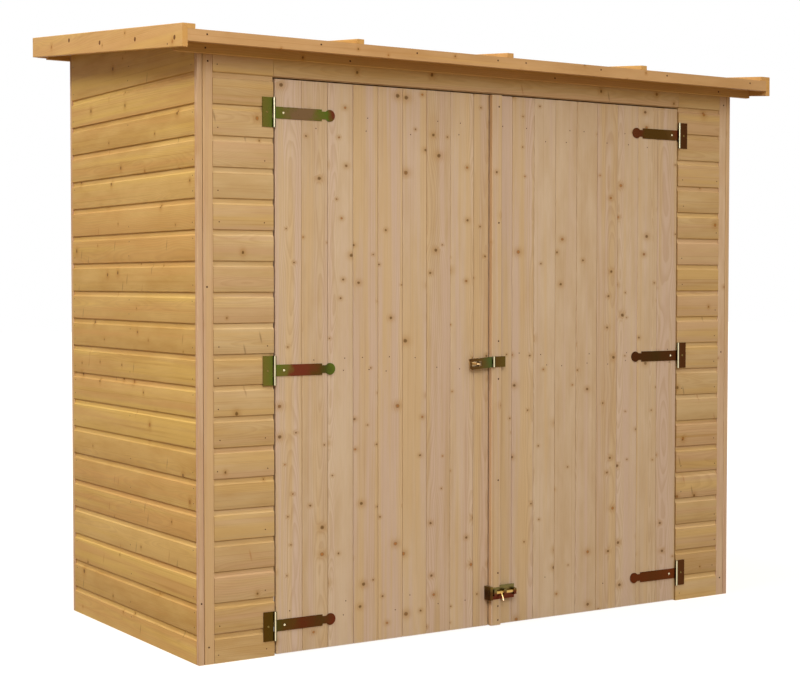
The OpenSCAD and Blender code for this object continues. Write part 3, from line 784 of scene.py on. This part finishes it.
left_top = film((0.0, GREEN), (0.20, OLIVE), (0.34, PURPLE), (0.60, PURPLE), (0.72, OLIVE), (0.86, GREEN),
                (1.0, RUST))
left_middle = film((0.0, GREEN), (0.14, OLIVE), (0.28, RUST), (0.50, RUST), (0.68, BROWN),
                   (0.84, (66, 66, 26)), (1.0, GREEN))
left_low = film((0.0, (66, 60, 22)), (0.25, (80, 52, 20)), (0.5, (84, 40, 20)), (0.75, (72, 50, 20)),
                (1.0, (90, 40, 22)))
right_top = film((0.0, (98, 44, 22)), (0.14, BROWN), (0.26, BLACKISH), (0.74, BLACKISH), (0.86, (86, 42, 18)),
                 (1.0, (90, 46, 20)))
right_middle = film((0.0, (72, 36, 12)), (0.5, (60, 40, 12)), (1.0, (66, 34, 12)))
right_low = film((0.0, (88, 40, 12)), (0.5, (76, 40, 12)), (1.0, (84, 36, 12)))
left_plate = film((0.0, GREEN), (0.5, (98, 94, 36)), (1.0, (104, 92, 38)))
left_plate_low = film((0.0, (70, 54, 14)), (1.0, (74, 50, 14)))
right_plate = film((0.0, (74, 42, 16)), (1.0, (70, 38, 14)))
hasp_plate = film((0.0, BROWN), (1.0, (86, 70, 28)))
hasp_arm = film((0.0, BROWN), (0.10, (70, 84, 42)), (0.30, (76, 78, 38)), (0.5, (88, 66, 30)),
                (1.0, (84, 54, 24)))
# the pale film of the staple is a painted highlight laid over all of it
staple = film((0.0, (190, 158, 104)), (1.0, (228, 200, 158)))
bolt = film((0.0, (84, 36, 22)), (0.45, (88, 46, 26)), (0.7, (108, 96, 54)), (1.0, (104, 96, 58)))
keeper = film((0.0, BROWN), (0.6, (74, 48, 22)), (1.0, (110, 92, 44)))
rod = film((0.0, (236, 206, 176)), (0.45, (206, 170, 110)), (1.0, (196, 160, 84)))


def span(node, axis, turned=False):
    """Start and end of a node along an axis, from the other end if turned."""
    lo, hi = low(node)[axis], high(node)[axis]
    return (hi, lo) if turned else (lo, hi)


skins = {
    "left_hinge_plates": zinc("left_plate_zinc", left_plate, LEFT_PIN, LEFT_PIN - PLATE, HINGE_EDGE,
                              others=[(LEFT_Z[0], left_plate_low)]),
    "left_hinge_straps": zinc("left_strap_zinc", left_top, LEFT_PIN, LEFT_PIN + STRAP, HINGE_EDGE,
                              others=[(LEFT_Z[1], left_middle), (LEFT_Z[0], left_low)]),
    "right_hinge_plates": zinc("right_plate_zinc", right_plate, RIGHT_PIN, RIGHT_PIN + PLATE, HINGE_EDGE),
    "right_hinge_straps": zinc("right_strap_zinc", right_top, RIGHT_PIN, RIGHT_PIN - STRAP, HINGE_EDGE,
                               others=[(RIGHT_Z[1], right_middle), (RIGHT_Z[0], right_low)]),
    "hasp_plate": zinc("hasp_plate_zinc", hasp_plate, *span("hasp_plate", 0), HASP_EDGE),
    "hasp_arm": zinc("hasp_arm_zinc", hasp_arm, *span("hasp_arm", 0, True), HASP_EDGE),
    "hasp_staple": zinc("staple_zinc_painted_highlight", staple, *span("hasp_staple", 0)),
    "bolt_body": zinc("bolt_zinc", bolt, *span("bolt_body", 2), axis=2),
    "bolt_keeper": zinc("keeper_zinc", keeper, *span("bolt_keeper", 2), axis=2),
    "bolt_rod": zinc("rod_zinc", rod, *span("bolt_rod", 2), axis=2),
}
for node, skin in skins.items():
    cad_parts[node].data.materials.clear()
    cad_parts[node].data.materials.append(skin)


# Nails and screws

# Shares of a head's radius and rise: its outline from the foot up, and the cross-shaped recess
HEAD_SHAPE = ((1.0, -0.5), (1.0, 0.0), (0.92, 0.55), (0.74, 0.85), (0.46, 0.96), (0.2, 1.0))
CROSS_R, CROSS_ARM, CROSS_DEPTH, CROSS_FLOOR = 0.6, 0.2, 0.9, 0.1
QUARTER = math.pi / 2


def head(bm, place, out, radius, rise, cross):
    """One round head, with a cross-shaped recess if asked."""
    sides = 32 if cross else 12
    side = out.orthogonal().normalized()
    up = out.cross(side)
    rows = []
    for share, lift in HEAD_SHAPE:
        row = []
        for i in range(sides):
            turn = 2 * math.pi * i / sides
            arm = cross and share < CROSS_R and min(turn % QUARTER, -turn % QUARTER) < CROSS_ARM / share
            sunk = CROSS_DEPTH if arm else 0.0
            around = (side * math.cos(turn) + up * math.sin(turn)) * radius * share
            row.append(bm.verts.new(place + around + out * rise * (lift - sunk)))
        rows.append(row)
    tip = bm.verts.new(place + out * rise * (CROSS_FLOOR if cross else 1.0))
    for a, b in zip(rows, rows[1:]):
        for i in range(sides):
            j = (i + 1) % sides
            bm.faces.new((a[i], a[j], b[j], b[i]))
    for i in range(sides):
        bm.faces.new((rows[-1][i], rows[-1][(i + 1) % sides], tip))
    bm.faces.new(list(reversed(rows[0])))


def heads(name, body, material, spots, radius, rise, cross=False):
    """Round heads that stand a little proud; spots holds pairs of a place and the way the head looks."""
    bm = bmesh.new()
    for place, out in spots:
        head(bm, place, out, radius, rise, cross)
    bmesh.ops.recalc_face_normals(bm, faces=bm.faces)
    mesh = bpy.data.meshes.new(name)
    bm.to_mesh(mesh)
    bm.free()
    obj = placed(name, mesh, material, 50)
    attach(obj, body)


def at(x, y, z):
    return Vector((x, y, z)) * MM


# The places of nails and wood screws are in millimetres, as read from the photograph
TRIM_NAILS = ((-998, 1735), (-1003, 1091), (-1024, 179), (-1001, 50), (1002, 1725), (998, 860), (1000, 60))
FASCIA_NAILS = [(x, 1794) for x in (-1048, -682, -349, -48, 61, 365, 649, 1030)]
SOFFIT_NAILS = ((-1014, 1769), (-535, 1766), (240, 1767), (960, 1768))
BARGE_NAIL = (-484, 1773)
BARGE_SCREWS = ((257, 1874), (6, 1836), (-260, 1814), (-531, 1786))
STRIP_NAIL_X, STRIP_NAILS = 18, (1662, 1294, 917, 796, 471, 172, 65, 20)
NAIL_R, SMALL_NAIL_R, WOOD_SCREW_R, SCREW_R = 2.9 * MM, 1.9 * MM, 7.0 * MM, 3.4 * MM
NAIL_RISE, SMALL_RISE, SCREW_RISE = 0.2 * MM, 0.1 * MM, 1.0 * MM

fascia_mm, soffit_mm = low("front_fascia").y / MM + PROUD / MM, low("front_eaves_rail").y / MM
barge_mm = low("left_bargeboard").x / MM + PROUD / MM
nails = []
for y, spots in ((FRONT / MM, TRIM_NAILS), (fascia_mm, FASCIA_NAILS), (soffit_mm, SOFFIT_NAILS)):
    nails += [(at(x, y, z), -Y) for x, z in spots]
nails.append((at(barge_mm, *BARGE_NAIL), -X))
heads("shed_nails", "shed", NAIL, nails, NAIL_R, NAIL_RISE)
barge_screws = [(at(x, y, z), out) for x, out in ((barge_mm, -X), (-barge_mm, X)) for y, z in BARGE_SCREWS]
heads("bargeboard_screws", "shed", WOOD_SCREW, barge_screws, WOOD_SCREW_R, NAIL_RISE)

# small nails hold the cladding along the studs; some of them show
SIDE_STUDS, FRONT_STUDS = (-452, 0, 452), (-968, -812, 814, 968)      # in millimetres, and so are the offsets
FROM_FOOT, FROM_TOP, FRONT_FROM_FOOT = 22 * MM, 24 * MM, 24 * MM
SIDE_SHARE, FRONT_SHARE, DOOR_SHARE = 0.42, 0.45, 0.5
pick = random.Random(61)
small_nails = []
for z0, z1 in side_rows:
    for y in SIDE_STUDS:
        for z in (z0 + FROM_FOOT, z1 - FROM_TOP):
            if z < under_roof(y * MM) - 30 * MM and z > 10 * MM:
                for x, out in ((LEFT, -X), (RIGHT, X)):
                    if pick.random() < SIDE_SHARE:
                        small_nails.append((Vector((x, (y + pick.uniform(-5, 5)) * MM, z)), out))
for z0, z1 in front_rows:
    z = z0 + FRONT_FROM_FOOT
    for x in FRONT_STUDS:
        if z < under_roof(FRONT) - 40 * MM and pick.random() < FRONT_SHARE:
            small_nails.append((Vector(((x + pick.uniform(-5, 5)) * MM, FRONT, z)), -Y))
heads("cladding_nails", "shed", NAIL, small_nails, SMALL_NAIL_R, SMALL_RISE)

strip_nails = [(at(STRIP_NAIL_X, STRIP_Y / MM, z), -Y) for z in STRIP_NAILS]
heads("strip_nails", "right_door", NAIL, strip_nails, NAIL_R, SMALL_RISE)

# two rows of nails hold the door boards to each ledge
LEDGE_NAILS = (97, 133, 836, 872, 1565, 1600)
HINGE_GAP = 5 * MM
for side, first, step, count in (
    ("left", DOOR_L + HINGE_GAP, LEFT_COVER, 8),
    ("right", DOOR_R - HINGE_GAP, -RIGHT_COVER, 9),
):
    spots = []
    for z in LEDGE_NAILS:
        for i in range(count):
            if pick.random() < DOOR_SHARE:
                x = first + step * (i + 0.5) + pick.uniform(-18, 18) * MM
                spots.append((Vector((x, FRONT, (z + pick.uniform(-6, 6)) * MM)), -Y))
    heads(side + "_door_nails", side + "_door", NAIL, spots, SMALL_NAIL_R, SMALL_RISE)

# one screw shows in each leaf of a hinge
PLATE_SCREW, STRAP_SCREW = 22 * MM, 32 * MM      # distances from the pins


def leaf_screws(pin, away, middles):
    return [(Vector((pin + away, LEAF_Y, z)), -Y) for z in middles]


plate_screws = leaf_screws(LEFT_PIN, -PLATE_SCREW, LEFT_Z) + leaf_screws(RIGHT_PIN, PLATE_SCREW, RIGHT_Z)
for name, body, skin, spots in (
    ("plate_screws", "shed", DULL_SCREW, plate_screws),
    ("left_strap_screws", "left_door", GLINTING_SCREW, leaf_screws(LEFT_PIN, STRAP_SCREW, LEFT_Z)),
    ("right_strap_screws", "right_door", GLINTING_SCREW, leaf_screws(RIGHT_PIN, -STRAP_SCREW, RIGHT_Z)),
):
    heads(name, body, skin, spots, SCREW_R, SCREW_RISE, cross=True)


# Stage and light

GROUND = (0.29, 0.22, 0.14, 1.0)
WHITE = (1.0, 1.0, 1.0)
DOME_LOW, DOME_TOP = (0.360, 0.322, 0.285), (1.1, 1.1, 1.1)
FENCE_TINT = (0.34, 0.15, 0.05)


def seen_rays(n):
    """1 for what the camera, a shiny face or clear matter sees, else 0."""
    rays = n.add("ShaderNodeLightPath").outputs
    seen_by = n.math("MAXIMUM", rays["Is Camera Ray"], rays["Is Glossy Ray"])
    return n.math("MAXIMUM", seen_by, rays["Is Transmission Ray"])


def floor_material():
    """White to the eye, with the shed's soft shadow close to it, and a dull ground for the light."""
    n = Nodes(bpy.data.materials.new("pale_floor"))
    where = n.split(n.add("ShaderNodeNewGeometry").outputs["Position"])
    shadow = n.ramp(n.hypotenuse(where[0], where[1]), 1.4, 2.6, 0.86, 1.0)
    strength = n.math("MULTIPLY", seen_rays(n), shadow)
    dull = n.add("ShaderNodeBsdfDiffuse", {"Color": GROUND})
    glow = n.add("ShaderNodeEmission", {"Color": (*WHITE, 1.0), "Strength": strength})
    return n.finish(n.add("ShaderNodeAddShader", {0: dull.outputs[0], 1: glow.outputs[0]}))


def sky():
    """White backdrop to the eye; for the light, a dome that is brighter overhead."""
    world = bpy.data.worlds.new("sky")
    bpy.context.scene.world = world
    n = Nodes(world)
    way = n.split(n.coordinates("Generated"))
    dome = n.colours(way[2], ((0.0, DOME_LOW), (0.85, DOME_TOP)))
    # on the left the low light is dim and warm, as beside a wooden fence
    open_sky = n.math("MAXIMUM", n.ramp(way[0], -0.85, -0.15), n.ramp(way[2], 0.4, 0.8))
    dome = n.mix(open_sky, n.mix(1.0, dome, FENCE_TINT, "MULTIPLY"), dome)
    back = n.add("ShaderNodeBackground", {"Color": n.mix(seen_rays(n), dome, WHITE)})
    n.finish(back, "ShaderNodeOutputWorld")


def softbox(name, place, aim, size, power):
    light = bpy.data.lights.new(name, "AREA")
    light.shape = "RECTANGLE"
    light.size, light.size_y = size
    light.energy = power
    obj = bpy.data.objects.new(name, light)
    obj.location = place
    obj.rotation_euler = (Vector(aim) - Vector(place)).to_track_quat("-Z", "Y").to_euler()
    bpy.context.scene.collection.objects.link(obj)


bm = bmesh.new()
bmesh.ops.create_grid(bm, x_segments=2, y_segments=2, size=30)
floor_mesh = bpy.data.meshes.new("floor")
bm.to_mesh(floor_mesh)
bm.free()
floor_mesh.materials.append(floor_material())
floor = bpy.data.objects.new("floor", floor_mesh)
bpy.context.scene.collection.objects.link(floor)

sky()
softbox("front", place=(-2.8, -5.6, 4.3), aim=(0, 0, 0.9), size=(4.0, 3.0), power=220)
softbox("side", place=(-5.5, -1.2, 6.2), aim=(-0.5, 0, 0.9), size=(3.6, 2.6), power=304)


# Camera, which stands in front of the left corner, a little above half the shed's height

PHOTO_W, FOCAL_PX = 800, 1649.54
CAMERA_PLACE = (-3.09205, -4.75928, 1.10336)
CAMERA_DOWN, CAMERA_ROLL, CAMERA_HEADING = 2.1632, -0.025, -32.7064      # degrees

camera = bpy.data.cameras.new("camera")
camera.sensor_fit = "HORIZONTAL"
camera.sensor_width = 36.0
camera.lens = camera.sensor_width * FOCAL_PX / PHOTO_W
camera.clip_end = 100
cam = bpy.data.objects.new("camera", camera)
cam.location = CAMERA_PLACE
cam.rotation_euler = [math.radians(angle) for angle in (90 - CAMERA_DOWN, CAMERA_ROLL, CAMERA_HEADING)]
bpy.context.scene.collection.objects.link(cam)
bpy.context.scene.camera = cam
bpy.context.scene.view_settings.view_transform = "Standard"
